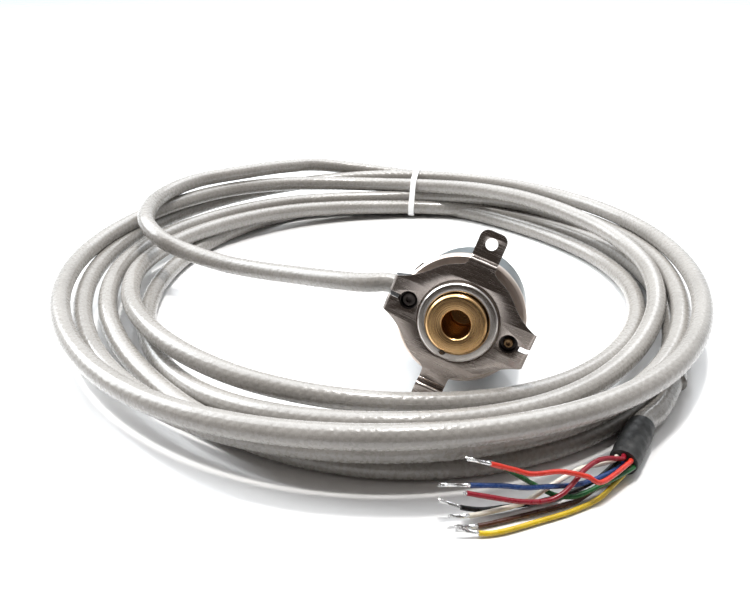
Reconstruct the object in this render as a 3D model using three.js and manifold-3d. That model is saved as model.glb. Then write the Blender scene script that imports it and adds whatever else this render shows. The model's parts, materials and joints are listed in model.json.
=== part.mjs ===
// Miniature blind-hollow-shaft rotary encoder with its coiled cable and stripped wire ends.
// Millimetres, +Z up. The encoder lies tilted on the tip of its lower coupling tab and on the
// rear edge of its cover, in front of the inside of the cable coil.
//
// The encoder's own pieces are drawn in its local frame: +z forward out of the hub's face,
// +y through the upper coupling tab, z = 0 on the front face of the flange.
// The cable's pieces are drawn about the middle of the coil, on the surface z = 0.

import * as THREE from 'three';
import { mergeVertices } from 'three/addons/utils/BufferGeometryUtils.js';
import Module from 'manifold-3d';

const wasm = await Module();
wasm.setup();

// ---------------------------------------------------------------- driving dimensions

const GAP = 0.3;                   // clearance kept between touching pieces
const ROUND = 40;                  // sides of a large turned piece
const SMALL_ROUND = 24;            // sides of a small turned piece
const SCREW_ROUND = 12;            // sides of a screw

const FLANGE_CENTRE = new THREE.Vector3(-0.39, -7.71, 22.99);  // middle of the flange's front face
const YAW = THREE.MathUtils.degToRad(14.7);    // the hub points this far left of -Y
const TILT = THREE.MathUtils.degToRad(15);     // and this far upwards
const ROLL = THREE.MathUtils.degToRad(17.5);   // upper tab leans right, seen from the front

const FLANGE_RADIUS = 18.5;
const FLANGE_RIM = 3.2;            // thickness of the flange's rim
const FLANGE_CHAMFER = 0.6;
const SPIGOT_RADIUS = 16;          // the shoulder that the cover sits over
const SPIGOT_END = -7.2;
const HOUSING_RADIUS = 10.2;       // tube that holds the bearings
const HOUSING_END = -12.4;

const CAP_RADIUS = 17.5;
const CAP_WALL = 0.8;
const CAP_FRONT = -FLANGE_RIM - GAP;
const CAP_BACK = -24;
const CAP_END_WALL = 1.2;
const CAP_SCREW_ANGLES = [154, 9, 260];
const CAP_SCREW_Z = -5.3;

const HUB_RADIUS = 8.4;
const HUB_FACE = 7.8;
const HUB_BACK = 0.4;
const BORE_RADIUS = 4;             // for an 8 mm motor shaft
const BORE_DEPTH = 17;
const JOURNAL_RADIUS = 6;
const TAIL_RADIUS = 3.5;
const CLAMP_RING_RADIUS = 11.2;
const CLAMP_RING_FACE = 5.5;
const PIN_HOLE_RADIUS = 0.95;
const PIN_HOLE_AT = 9.1;
const PIN_HOLE_ANGLE = 266;
const SPANNER_NOTCH_ANGLE = 285;
const SPANNER_NOTCH_RADIUS = 0.9;
const SPANNER_NOTCH_DEPTH = 0.6;
const GRUB_ANGLES = [60, 150];
const GRUB_RADIUS = 0.8;
const GRUB_Z = 1.9;
const JOURNAL_END = -13;           // rear of the shaft's bearing journal
const RETAINING_GROOVE = { radius: 4.9, front: -11.7, back: -12.5 };

const BEARING_WIDTH = 3.5;
const BEARING_FRONTS = [-0.9, -8.1];
const BEARING_OUTER = 9;
const BEARING_INNER = JOURNAL_RADIUS + GAP;
const OUTER_RACE = 8.35;
const INNER_RACE = 6.75;
const BALL_RADIUS = 0.5;
const BALL_PITCH_RADIUS = 7.55;
const BALLS = 9;
const CAGE_WALL = 0.3;
const CAGE_WIDTH = 1.2;

const DISC_RADIUS = 13.4;
const DISC_FRONT = -15.2;
const DISC_THICKNESS = 1;
const DISC_HUB_RADIUS = 7;
const DISC_HUB_FRONT = -13.3;
const TRACK_RADIUS = 12.2;         // where the light passes through the code disc
const BOARD_RADIUS = 16.2;
const BOARD_FRONT = -18.7;
const BOARD_THICKNESS = 1.4;
const PILLAR_ANGLES = [30, 150, 270];
const PILLAR_AT = 15;
const PILLAR_RADIUS = 1.3;

const SHEET = 0.5;                 // thickness of the coupling's spring steel
const PLATE_BACK = 3.4;            // rear face of the coupling's plate
const PLATE_INNER = 11.8;
const PLATE_OUTER = 16.25;
const EAR_EDGE = 21.2;             // ear's outer edge from the axis
const EAR_HALF = 5.1;
const EAR_SLOT = 1.4;
const EAR_SCREW_AT = 15;
const EAR_HOLE = 2.65;
const EAR_FOLD_DEPTH = 1.2;        // the ear's edge is folded back this far
const SPACER_RADIUS = 3.2;
const TAB_HALF = 3.9;
const TAB_TIP = 26.5;
const TAB_CORNER = 2.2;
const TAB_HOLE_AT = 23;
const TAB_HOLE = 1.75;
const UPPER_BEND = 18.4;           // where the upper tab steps back
const UPPER_TAB_BACK = GAP;
const LOWER_BEND = 19.7;           // where the lower tab steps forward
const LOWER_TAB_BACK = 7.8;

const CABLE_RADIUS = 3.15;
const CABLE_ANGLE = THREE.MathUtils.degToRad(187.5);  // way out of the cover, from +x
const CABLE_Z = -18.2;
const CABLE_START = 14.4;          // cut face of the jacket inside the cover
const GROMMET_BODY = 4.1;
const GROMMET_TIP = 23.6;

const CAP_SCREW = { shank: 0.8, head: 1.6, tip: 12.8, seat: CAP_RADIUS + GAP, top: 18.9 };
const COUPLING_SCREW = { shank: 1.1, head: 2.0, tip: -4.2, seat: 1.5, top: 2.7 };
const BOARD_SCREW = { shank: 0.55, head: 1.3, tip: -15.8, seat: -20.4, top: -21.2 };

const COIL_CENTRE = new THREE.Vector3(-22.04, 53.8, 0);
const TIE_ANGLE = 10.5;            // clockwise from +Y, seen from above
const TIE_HALF = 1.3;              // half its width
const TIE_THICKNESS = 1.2;
const TIE_SINK = 1.8;              // how deep it presses into the bundle's outline
const SLEEVE_RADIUS = 3.7;
const SLEEVE_FROM = [69.6, -83.3];
const SLEEVE_TO = [59.0, -99.8];
const WIRE_RADIUS = 0.6;

// ---------------------------------------------------------------- solids

/** A closed solid from a geometry, with its faces turned outwards. */
function solidOf(geometry) {
  const bare = geometry.clone();
  bare.deleteAttribute('normal');
  bare.deleteAttribute('uv');
  const merged = mergeVertices(bare, 1e-4);
  const position = merged.attributes.position;
  const corners = [0, 1, 2].map(() => new THREE.Vector3());
  const triangles = [];
  let volume = 0;
  for (let i = 0; i < merged.index.count; i += 3) {
    const [a, b, c] = [0, 1, 2].map((k) => merged.index.getX(i + k));
    if (a === b || b === c || c === a) continue;
    [a, b, c].forEach((vertex, k) => corners[k].fromBufferAttribute(position, vertex));
    volume += corners[0].dot(corners[1].clone().cross(corners[2]));
    triangles.push([a, b, c]);
  }
  if (volume < 0) triangles.forEach((triangle) => triangle.reverse());
  return new wasm.Manifold(new wasm.Mesh({
    numProp: 3,
    vertProperties: new Float32Array(position.array),
    triVerts: new Uint32Array(triangles.flat()),
  }));
}

/** A three.js geometry from a solid. */
function geometryOf(solid) {
  const mesh = solid.getMesh();
  const geometry = new THREE.BufferGeometry();
  geometry.setAttribute('position', new THREE.BufferAttribute(mesh.vertProperties, 3));
  geometry.setIndex(new THREE.BufferAttribute(mesh.triVerts, 1));
  return geometry;
}

/** A piece turned about z. The profile is a list of [radius, z]; off the axis it closes on itself. */
function turned(profile, sides = ROUND) {
  const points = profile.map(([radius, z]) => new THREE.Vector2(radius, z));
  const onAxis = points[0].x === 0 && points[points.length - 1].x === 0;
  if (!onAxis) points.push(points[0].clone());
  const geometry = new THREE.LatheGeometry(points, sides);
  geometry.rotateX(Math.PI / 2);
  return geometry;
}

/** A flat ring or tube about z. */
function tube(inner, outer, back, front, sides = ROUND) {
  return turned([[inner, back], [outer, back], [outer, front], [inner, front]], sides);
}

/** A solid rod about z. */
function rod(radius, back, front, sides = SMALL_ROUND) {
  return turned([[0, back], [radius, back], [radius, front], [0, front]], sides);
}

/** A box given by its lowest and highest corners. */
function block([x0, y0, z0], [x1, y1, z1]) {
  const geometry = new THREE.BoxGeometry(x1 - x0, y1 - y0, z1 - z0);
  geometry.translate((x0 + x1) / 2, (y0 + y1) / 2, (z0 + z1) / 2);
  return geometry;
}

/** A closed outline drawn in x and y, raised from back to front. */
function raised(shape, back, front, curveSegments = 8) {
  const geometry = new THREE.ExtrudeGeometry(shape, {
    depth: front - back, bevelEnabled: false, curveSegments,
  });
  geometry.translate(0, 0, back);
  return geometry;
}

/** Puts a geometry drawn about z on a radial axis at an angle, with its z pointing outwards. */
function radially(geometry, degrees, z) {
  geometry.rotateY(Math.PI / 2);
  geometry.rotateZ(THREE.MathUtils.degToRad(degrees));
  geometry.translate(0, 0, z);
  return geometry;
}

/** Moves a geometry out from the axis, at an angle. */
function outwards(geometry, degrees, radius) {
  const angle = THREE.MathUtils.degToRad(degrees);
  geometry.translate(radius * Math.cos(angle), radius * Math.sin(angle), 0);
  return geometry;
}

function join(...geometries) {
  return geometries.map(solidOf).reduce((whole, next) => whole.add(next));
}

function cut(solid, ...geometries) {
  return geometries.map(solidOf).reduce((whole, next) => whole.subtract(next), solid);
}

/** A round cable or wire through a list of points. */
function cable(points, radius, sides, steps) {
  const section = new THREE.Shape();
  for (let i = 0; i < sides; i += 1) {
    const angle = (2 * Math.PI * i) / sides;
    const [x, y] = [radius * Math.cos(angle), radius * Math.sin(angle)];
    if (i === 0) section.moveTo(x, y);
    else section.lineTo(x, y);
  }
  section.closePath();
  const path = new THREE.CatmullRomCurve3(points.map((point) => new THREE.Vector3(...point)));
  return new THREE.ExtrudeGeometry(section, { steps, extrudePath: path, bevelEnabled: false });
}

// ---------------------------------------------------------------- materials

function finish(color, roughness, metalness) {
  return new THREE.MeshStandardMaterial({ color, roughness, metalness });
}

const FINISH = {
  flange: finish(0x9a8f88, 0.35, 0.9),
  cover: finish(0x9fb0ba, 0.4, 0.85),
  steel: finish(0x6b6460, 0.25, 1),
  bearing: finish(0xb8bcc0, 0.2, 1),
  brass: finish(0xc89a4a, 0.3, 1),
  darkSteel: finish(0x2c2a2a, 0.45, 0.9),
  glass: finish(0xcfe3dd, 0.05, 0),
  board: finish(0x1f6b3a, 0.5, 0),
  blackPlastic: finish(0x1b1b1c, 0.5, 0),
  rubber: finish(0x232325, 0.8, 0),
  jacket: finish(0xb9b8b9, 0.4, 0),
  sleeve: finish(0x1c1c1d, 0.75, 0),
  tie: finish(0xf2f2f0, 0.45, 0),
};

const WIRE_COLOURS = {
  red: 0xb8281e, green: 0x1f6b35, blue: 0x24408f, crimson: 0x8e1c2c,
  white: 0xe8e4dc, brown: 0x5b3a28, black: 0x1a1a1a, yellow: 0xe0c318,
};

/** A named mesh of one solid or geometry. */
function piece(name, form, material) {
  const solid = form.isBufferGeometry ? solidOf(form) : form;
  const mesh = new THREE.Mesh(geometryOf(solid), material);
  mesh.name = name;
  return mesh;
}

// ---------------------------------------------------------------- flange and cover

function flangeBody() {
  const bearingSeat = BEARING_OUTER + GAP;
  const lip = 7.4;
  const lipBack = -0.6;
  const land = 8.5;
  const landFront = BEARING_FRONTS[0] - BEARING_WIDTH - GAP;
  const landBack = BEARING_FRONTS[1] + GAP;
  const body = solidOf(turned([
    [lip, 0], [FLANGE_RADIUS - FLANGE_CHAMFER, 0], [FLANGE_RADIUS, -FLANGE_CHAMFER],
    [FLANGE_RADIUS, -FLANGE_RIM], [SPIGOT_RADIUS, -FLANGE_RIM], [SPIGOT_RADIUS, SPIGOT_END],
    [HOUSING_RADIUS, SPIGOT_END], [HOUSING_RADIUS, HOUSING_END], [bearingSeat, HOUSING_END],
    [bearingSeat, landBack], [land, landBack], [land, landFront],
    [bearingSeat, landFront], [bearingSeat, lipBack], [lip, lipBack],
  ]));
  const couplingHole = rod(COUPLING_SCREW.shank + GAP, COUPLING_SCREW.tip - GAP, 1, SCREW_ROUND);
  const couplingHoles = [0, 180].map((angle) => outwards(couplingHole.clone(), angle, EAR_SCREW_AT));
  return cut(body, ...couplingHoles, ...coverScrewHoles(CAP_SCREW.tip - GAP, SPIGOT_RADIUS + 1));
}

/** Clearance holes for the cover's screws, between two distances from the axis. */
function coverScrewHoles(inner, outer) {
  return CAP_SCREW_ANGLES.map((angle) => (
    radially(rod(CAP_SCREW.shank + GAP, inner, outer, SCREW_ROUND), angle, CAP_SCREW_Z)));
}

function rearCap() {
  const inner = CAP_RADIUS - CAP_WALL;
  const edge = 0.6;
  const floor = CAP_BACK + CAP_END_WALL;
  const shell = solidOf(turned([
    [0, CAP_BACK], [CAP_RADIUS - edge, CAP_BACK], [CAP_RADIUS, CAP_BACK + edge],
    [CAP_RADIUS, CAP_FRONT], [inner, CAP_FRONT], [inner, floor], [0, floor],
  ]));
  const cableHole = rod(GROMMET_BODY + GAP, inner - 3, CAP_RADIUS + 1);
  return cut(shell, ...coverScrewHoles(inner - 1, CAP_RADIUS + 1), alongCable(cableHole));
}

/** Rubber ring between the flange's shoulder and the cover. */
function capSeal() {
  const clear = 0.1;
  const width = 0.4;
  const front = CAP_FRONT - 0.2;
  return tube(SPIGOT_RADIUS + clear, SPIGOT_RADIUS + clear + width, front - width, front);
}

/** Puts a geometry drawn about z on the cable's way out of the cover. */
function alongCable(geometry) {
  return radially(geometry, THREE.MathUtils.radToDeg(CABLE_ANGLE), CABLE_Z);
}

function coverScrews() {
  const slotHalf = 0.25;
  const slotDepth = 0.5;
  return CAP_SCREW_ANGLES.map((angle, index) => {
    const { shank, head, tip, seat, top } = CAP_SCREW;
    const profile = [[0, tip], [shank, tip], [shank, seat], [head, seat], [head, top], [0, top]];
    const screw = solidOf(radially(turned(profile, SCREW_ROUND), angle, CAP_SCREW_Z));
    const slot = block([-slotHalf, -head, top - slotDepth], [slotHalf, head, top + 1]);
    return piece(`cover_screw_${index + 1}`,
      cut(screw, radially(slot, angle, CAP_SCREW_Z)), FINISH.darkSteel);
  });
}

// ---------------------------------------------------------------- shaft and clamping

/** The driving pin's hole, half in the hub and half in the clamp ring. */
function pinHole() {
  const bottom = 3;
  return outwards(rod(PIN_HOLE_RADIUS, bottom, HUB_FACE + 1, SCREW_ROUND), PIN_HOLE_ANGLE, PIN_HOLE_AT);
}

/** The grub screws' holes, through the clamp ring and into the hub. */
function grubHoles() {
  const inner = 7;
  return GRUB_ANGLES.map((angle) => (
    radially(rod(GRUB_RADIUS + GAP, inner, CLAMP_RING_RADIUS + 1, SCREW_ROUND), angle, GRUB_Z)));
}

function hubShaft() {
  const faceChamfer = 0.5;
  const boreChamfer = 0.3;
  const tailEnd = -17;
  const groove = RETAINING_GROOVE;
  const body = solidOf(turned([
    [0, HUB_FACE - BORE_DEPTH], [BORE_RADIUS, HUB_FACE - BORE_DEPTH],
    [BORE_RADIUS, HUB_FACE - boreChamfer], [BORE_RADIUS + boreChamfer, HUB_FACE],
    [HUB_RADIUS - faceChamfer, HUB_FACE], [HUB_RADIUS, HUB_FACE - faceChamfer],
    [HUB_RADIUS, HUB_BACK], [JOURNAL_RADIUS, HUB_BACK], [JOURNAL_RADIUS, groove.front],
    [groove.radius, groove.front], [groove.radius, groove.back],
    [JOURNAL_RADIUS, groove.back], [JOURNAL_RADIUS, JOURNAL_END],
    [TAIL_RADIUS, JOURNAL_END], [TAIL_RADIUS, tailEnd], [0, tailEnd],
  ]));
  return cut(body, pinHole(), ...grubHoles());
}

function clampRing() {
  const chamfer = 0.4;
  const back = 0.5;
  const ring = solidOf(turned([
    [HUB_RADIUS + GAP, back], [CLAMP_RING_RADIUS, back],
    [CLAMP_RING_RADIUS, CLAMP_RING_FACE - chamfer],
    [CLAMP_RING_RADIUS - chamfer, CLAMP_RING_FACE], [HUB_RADIUS + GAP, CLAMP_RING_FACE],
  ]));
  const notch = rod(SPANNER_NOTCH_RADIUS, CLAMP_RING_FACE - SPANNER_NOTCH_DEPTH,
    CLAMP_RING_FACE + 1, SCREW_ROUND);
  return cut(ring, pinHole(), outwards(notch, SPANNER_NOTCH_ANGLE, CLAMP_RING_RADIUS),
    ...grubHoles());
}

function grubScrews() {
  const inner = 7.4;
  const outer = CLAMP_RING_RADIUS - GAP;
  return GRUB_ANGLES.map((angle, index) => (
    piece(`grub_screw_${index + 1}`,
      radially(rod(GRUB_RADIUS, inner, outer, 8), angle, GRUB_Z), FINISH.darkSteel)));
}

/** A split ring in the shaft's groove, behind the rear bearing. */
function retainingRing() {
  const side = 0.15;
  const halfSplit = 0.9;
  const outer = 7;
  const { radius, front, back } = RETAINING_GROOVE;
  const ring = solidOf(tube(radius + GAP, outer, back + side, front - side, SMALL_ROUND));
  return cut(ring, block([-halfSplit, 0, back - 1], [halfSplit, outer + 1, front + 1]));
}

// ---------------------------------------------------------------- bearings

function bearing(place, front) {
  const back = front - BEARING_WIDTH;
  const middle = (front + back) / 2;
  const balls = [];
  for (let i = 0; i < BALLS; i += 1) {
    const ball = new THREE.SphereGeometry(BALL_RADIUS, 6, 5);
    ball.translate(0, 0, middle);
    balls.push(outwards(ball, (360 * i) / BALLS, BALL_PITCH_RADIUS));
  }
  const cage = tube(BALL_PITCH_RADIUS - CAGE_WALL / 2, BALL_PITCH_RADIUS + CAGE_WALL / 2,
    middle - CAGE_WIDTH / 2, middle + CAGE_WIDTH / 2, SMALL_ROUND);
  return {
    outer: piece(`${place}_bearing_outer_ring`,
      tube(OUTER_RACE, BEARING_OUTER, back, front, SMALL_ROUND), FINISH.bearing),
    inner: piece(`${place}_bearing_inner_ring`,
      tube(BEARING_INNER, INNER_RACE, back, front, SMALL_ROUND), FINISH.bearing),
    balls: piece(`${place}_bearing_balls`, join(cage, ...balls), FINISH.bearing),
  };
}

function bearingSpacer() {
  const front = BEARING_FRONTS[0] - BEARING_WIDTH - GAP;
  const back = BEARING_FRONTS[1] + GAP;
  return tube(BEARING_INNER, INNER_RACE, back, front, SMALL_ROUND);
}

// ---------------------------------------------------------------- code disc and light

function discHub() {
  const bore = TAIL_RADIUS + GAP;
  const shoulder = 5;
  const shoulderDrop = 0.8;
  return turned([
    [bore, DISC_FRONT + GAP], [DISC_HUB_RADIUS, DISC_FRONT + GAP],
    [DISC_HUB_RADIUS, DISC_HUB_FRONT - shoulderDrop], [shoulder, DISC_HUB_FRONT],
    [bore, DISC_HUB_FRONT],
  ], SMALL_ROUND);
}

function codeDisc() {
  return tube(TAIL_RADIUS + GAP, DISC_RADIUS, DISC_FRONT - DISC_THICKNESS, DISC_FRONT);
}

/** Puts a geometry drawn about z on the axis of the reading light. */
function overTrack(geometry) {
  return outwards(geometry, 90, TRACK_RADIUS);
}

/** A slab across the light's path, given by its size and the z of its faces. */
function overTrackSlab(width, depth, back, front) {
  return overTrack(block([-width / 2, -depth / 2, back], [width / 2, depth / 2, front]));
}

/** Block fixed outside the bearing housing, open on the side of the housing. */
function lampHolder() {
  const inner = HOUSING_RADIUS + 0.4;
  const body = solidOf(block([-3, inner, -13.2], [3, 15.4, SPIGOT_END - GAP]));
  const lightTube = rod(1.8, -14, SPIGOT_END);
  return cut(body, overTrack(lightTube));
}

function lamp() {
  return overTrack(turned([
    [0, -11.4], [0.8, -11.2], [1.3, -10.6], [1.3, -8.7], [1.5, -8.7], [1.5, -8], [0, -8],
  ], SCREW_ROUND));
}

function condenserLens() {
  return overTrack(turned([
    [0, -13], [0.9, -12.8], [1.5, -12.4], [1.5, -11.9], [0, -11.9],
  ], SCREW_ROUND));
}

function scanningReticle() {
  const front = DISC_FRONT - DISC_THICKNESS - 0.4;
  return overTrackSlab(6, 3.6, front - 0.6, front);
}

function photodiodeArray() {
  const back = BOARD_FRONT + GAP;
  return overTrackSlab(4.8, 2.8, back, back + 0.9);
}

// ---------------------------------------------------------------- circuit board

function mainBoard() {
  const back = BOARD_FRONT - BOARD_THICKNESS;
  const disc = solidOf(rod(BOARD_RADIUS, back, BOARD_FRONT, ROUND));
  const holes = PILLAR_ANGLES.map((angle) => (
    outwards(rod(BOARD_SCREW.shank + GAP, back - 1, BOARD_FRONT + 1, SCREW_ROUND), angle, PILLAR_AT)));
  const notchHalf = 4.2;
  const notchDepth = 9;
  const cableNotch = block([notchDepth, -notchHalf, back - 1],
    [BOARD_RADIUS + 1, notchHalf, BOARD_FRONT + 1]);
  cableNotch.rotateZ(CABLE_ANGLE);
  return cut(disc, cableNotch, ...holes);
}

/** The three pillars that hold the board behind the flange, each with its screw. */
function boardFixings() {
  const { shank, head, tip, seat, top } = BOARD_SCREW;
  const pillarFront = SPIGOT_END - GAP;
  const pillarBack = BOARD_FRONT + GAP;
  const hole = shank + GAP;
  const pillar = [[0, pillarFront], [PILLAR_RADIUS, pillarFront], [PILLAR_RADIUS, pillarBack],
    [hole, pillarBack], [hole, tip + GAP], [0, tip + GAP]];
  const screw = [[0, tip], [shank, tip], [shank, seat], [head, seat], [head, top], [0, top]];
  const place = (profile, angle) => outwards(turned(profile, SCREW_ROUND), angle, PILLAR_AT);
  return PILLAR_ANGLES.flatMap((angle, index) => [
    piece(`board_pillar_${index + 1}`, place(pillar, angle), FINISH.brass),
    piece(`board_screw_${index + 1}`, place(screw, angle), FINISH.darkSteel),
  ]);
}

/** A square-cornered component on the rear face of the board, given by two corners. */
function onBoard([x0, y0], [x1, y1], height) {
  const front = BOARD_FRONT - BOARD_THICKNESS - GAP;
  return block([x0, y0, front - height], [x1, y1, front]);
}

// ---------------------------------------------------------------- cable exit

function cableGrommet() {
  const bore = CABLE_RADIUS + GAP;
  return alongCable(turned([
    [bore, 16.3], [GROMMET_BODY, 16.3], [GROMMET_BODY, 17.9], [4.8, 18.3], [4.7, 19.4],
    [3.95, GROMMET_TIP], [bore, GROMMET_TIP],
  ], SMALL_ROUND));
}

function crimpFerrule() {
  return alongCable(tube(CABLE_RADIUS + GAP, 3.75, 14.2, 16, SMALL_ROUND));
}

function innerWires() {
  const start = new THREE.Vector3(Math.cos(CABLE_ANGLE), Math.sin(CABLE_ANGLE), 0);
  const at = (radius, z) => start.clone().multiplyScalar(radius).setZ(z).toArray();
  return cable([at(14.1, CABLE_Z), at(12.4, CABLE_Z - 0.5), at(10.4, -20.2), at(8.6, -21.3),
    at(6.8, -21.4)], 0.9, 8, 10);
}

// ---------------------------------------------------------------- stator coupling

/** One quarter of the plate's outline, from an ear's corner to the root of a tab. */
function quarterOutline(bend) {
  const arcPoint = (degrees) => new THREE.Vector2(
    PLATE_OUTER * Math.cos(THREE.MathUtils.degToRad(degrees)),
    PLATE_OUTER * Math.sin(THREE.MathUtils.degToRad(degrees)));
  const earCurve = new THREE.QuadraticBezierCurve(
    new THREE.Vector2(EAR_EDGE, EAR_HALF), new THREE.Vector2(15.8, 6.8), arcPoint(42));
  const rootCurve = new THREE.QuadraticBezierCurve(
    arcPoint(68), new THREE.Vector2(TAB_HALF, 15.9), new THREE.Vector2(TAB_HALF, 17.4));
  const arc = [47, 52, 57, 62].map(arcPoint);
  return [...earCurve.getPoints(6), ...arc, ...rootCurve.getPoints(5),
    new THREE.Vector2(TAB_HALF, bend)];
}

function plateOutline() {
  const upper = quarterOutline(UPPER_BEND);
  const lower = quarterOutline(LOWER_BEND);
  const flip = (points, x, y) => points.map((p) => new THREE.Vector2(p.x * x, p.y * y));
  return new THREE.Shape([
    ...upper,
    ...flip(upper, -1, 1).reverse(),
    ...flip(lower, -1, -1),
    ...flip(lower, 1, -1).reverse(),
  ]);
}

/** A tab with two round corners at its tip, drawn towards +y. */
function tabOutline(root) {
  const shape = new THREE.Shape();
  shape.moveTo(-TAB_HALF, root);
  shape.lineTo(TAB_HALF, root);
  shape.lineTo(TAB_HALF, TAB_TIP - TAB_CORNER);
  shape.absarc(TAB_HALF - TAB_CORNER, TAB_TIP - TAB_CORNER, TAB_CORNER, 0, Math.PI / 2);
  shape.lineTo(-TAB_HALF + TAB_CORNER, TAB_TIP);
  shape.absarc(-TAB_HALF + TAB_CORNER, TAB_TIP - TAB_CORNER, TAB_CORNER, Math.PI / 2, Math.PI);
  shape.closePath();
  const hole = new THREE.Path();
  hole.absarc(0, TAB_HOLE_AT, TAB_HOLE, 0, 2 * Math.PI);
  shape.holes.push(hole);
  return shape;
}

function statorCoupling() {
  const plateFront = PLATE_BACK + SHEET;
  const plate = raised(plateOutline(), PLATE_BACK, plateFront);
  const upperStep = block([-TAB_HALF, UPPER_BEND - SHEET, UPPER_TAB_BACK],
    [TAB_HALF, UPPER_BEND, plateFront]);
  const upperTab = raised(tabOutline(UPPER_BEND - SHEET), UPPER_TAB_BACK, UPPER_TAB_BACK + SHEET);
  const lowerStep = block([-TAB_HALF, -LOWER_BEND, PLATE_BACK],
    [TAB_HALF, -LOWER_BEND + SHEET, LOWER_TAB_BACK + SHEET]);
  const lowerTab = raised(tabOutline(LOWER_BEND - SHEET), LOWER_TAB_BACK, LOWER_TAB_BACK + SHEET);
  lowerTab.rotateZ(Math.PI);
  const folds = [-1, 1].map((side) => block(
    [side > 0 ? EAR_EDGE - SHEET : -EAR_EDGE, -EAR_HALF, PLATE_BACK - EAR_FOLD_DEPTH],
    [side > 0 ? EAR_EDGE : -EAR_EDGE + SHEET, EAR_HALF, plateFront]));
  const whole = join(plate, upperStep, upperTab, lowerStep, lowerTab, ...folds);
  const through = [PLATE_BACK - 2, plateFront + 2];
  const centreHole = rod(PLATE_INNER, ...through, ROUND);
  const keyholes = [0, 180].map((angle) => (
    outwards(rod(EAR_HOLE, ...through), angle, EAR_SCREW_AT)));
  const slots = [-1, 1].map((side) => block(
    [side > 0 ? EAR_SCREW_AT : -EAR_EDGE - 1, -EAR_SLOT / 2, through[0]],
    [side > 0 ? EAR_EDGE + 1 : -EAR_SCREW_AT, EAR_SLOT / 2, through[1]]));
  return cut(whole, centreHole, ...keyholes, ...slots);
}

function couplingSpacer(angle) {
  const boss = turned([
    [COUPLING_SCREW.shank + GAP, GAP], [SPACER_RADIUS, GAP], [SPACER_RADIUS, PLATE_BACK - GAP],
    [COUPLING_SCREW.head + GAP, PLATE_BACK - GAP],
    [COUPLING_SCREW.head + GAP, COUPLING_SCREW.seat - GAP],
    [COUPLING_SCREW.shank + GAP, COUPLING_SCREW.seat - GAP],
  ], SMALL_ROUND);
  return outwards(boss, angle, EAR_SCREW_AT);
}

function couplingScrew(angle) {
  const { shank, head, tip, seat, top } = COUPLING_SCREW;
  const socket = 0.9;
  const socketDepth = 0.8;
  const profile = [[0, tip], [shank, tip], [shank, seat], [head, seat], [head, top],
    [socket, top], [socket, top - socketDepth], [0, top - socketDepth]];
  return outwards(turned(profile, SCREW_ROUND), angle, EAR_SCREW_AT);
}

// ---------------------------------------------------------------- encoder assembly

function encoderPieces() {
  const front = bearing('front', BEARING_FRONTS[0]);
  const rear = bearing('rear', BEARING_FRONTS[1]);
  return [
    piece('flange_body', flangeBody(), FINISH.flange),
    piece('rear_cap', rearCap(), FINISH.cover),
    ...coverScrews(),
    piece('cap_seal', capSeal(), FINISH.rubber),
    piece('hub_shaft', hubShaft(), FINISH.brass),
    piece('clamp_ring', clampRing(), FINISH.bearing),
    ...grubScrews(),
    piece('stator_coupling', statorCoupling(), FINISH.steel),
    piece('coupling_spacer_right', couplingSpacer(0), FINISH.darkSteel),
    piece('coupling_spacer_left', couplingSpacer(180), FINISH.darkSteel),
    piece('coupling_screw_right', couplingScrew(0), FINISH.brass),
    piece('coupling_screw_left', couplingScrew(180), FINISH.darkSteel),
    ...Object.values(front),
    ...Object.values(rear),
    piece('bearing_spacer', bearingSpacer(), FINISH.steel),
    piece('retaining_ring', retainingRing(), FINISH.darkSteel),
    piece('disc_hub', discHub(), FINISH.brass),
    piece('code_disc', codeDisc(), FINISH.glass),
    piece('lamp_holder', lampHolder(), FINISH.blackPlastic),
    piece('lamp', lamp(), FINISH.glass),
    piece('condenser_lens', condenserLens(), FINISH.glass),
    piece('scanning_reticle', scanningReticle(), FINISH.glass),
    piece('photodiode_array', photodiodeArray(), FINISH.blackPlastic),
    piece('main_board', mainBoard(), FINISH.board),
    ...boardFixings(),
    piece('signal_chip', onBoard([1, 2], [7, 8], 1.2), FINISH.blackPlastic),
    piece('driver_chip', onBoard([1, -9], [6, -5], 1), FINISH.blackPlastic),
    piece('wire_connector', onBoard([-6.2, -4.4], [-2.6, 2.4], 2), FINISH.tie),
    piece('cable_grommet', cableGrommet(), FINISH.rubber),
    piece('crimp_ferrule', crimpFerrule(), FINISH.bearing),
    piece('inner_wires', innerWires(), FINISH.jacket),
  ];
}

/** Axes of the tilted encoder: right, up through the upper tab, and forward out of the hub. */
function encoderAxes() {
  const forward = new THREE.Vector3(
    -Math.sin(YAW) * Math.cos(TILT), -Math.cos(YAW) * Math.cos(TILT), Math.sin(TILT));
  const level = new THREE.Vector3(Math.cos(YAW), -Math.sin(YAW), 0);
  const rise = forward.clone().cross(level);
  const right = level.clone().multiplyScalar(Math.cos(ROLL))
    .addScaledVector(rise, -Math.sin(ROLL));
  const up = forward.clone().cross(right);
  return { right, up, forward };
}

function encoderGroup() {
  const { right, up, forward } = encoderAxes();
  const group = new THREE.Group();
  group.add(...encoderPieces());
  group.quaternion.setFromRotationMatrix(new THREE.Matrix4().makeBasis(right, up, forward));
  group.position.copy(FLANGE_CENTRE);
  return group;
}

// ---------------------------------------------------------------- cable

// The lead from the cover to the top of the coil, about the middle of the coil.
// Its first stretch, straight out of the cover, is worked out from the encoder's axes.
const LEAD_POINTS = [
  [-4.95, -36.4, 22.2], [-12.25, -32.9, 21.2], [-20.05, -28.0, 19.8], [-28.25, -22.3, 18.2],
  [-42.4, -13.9, 16.2], [-56.1, -6.8, 15.6], [-71.4, 1.1, 17.0], [-81.5, 6.3, 20.0],
  [-89.7, 18.1, 22.6], [-92.3, 37.0, 22.8], [-88.8, 53.6, 22.8], [-80.0, 67.6, 22.8],
  [-64.1, 78.8, 22.7],
];

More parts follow.
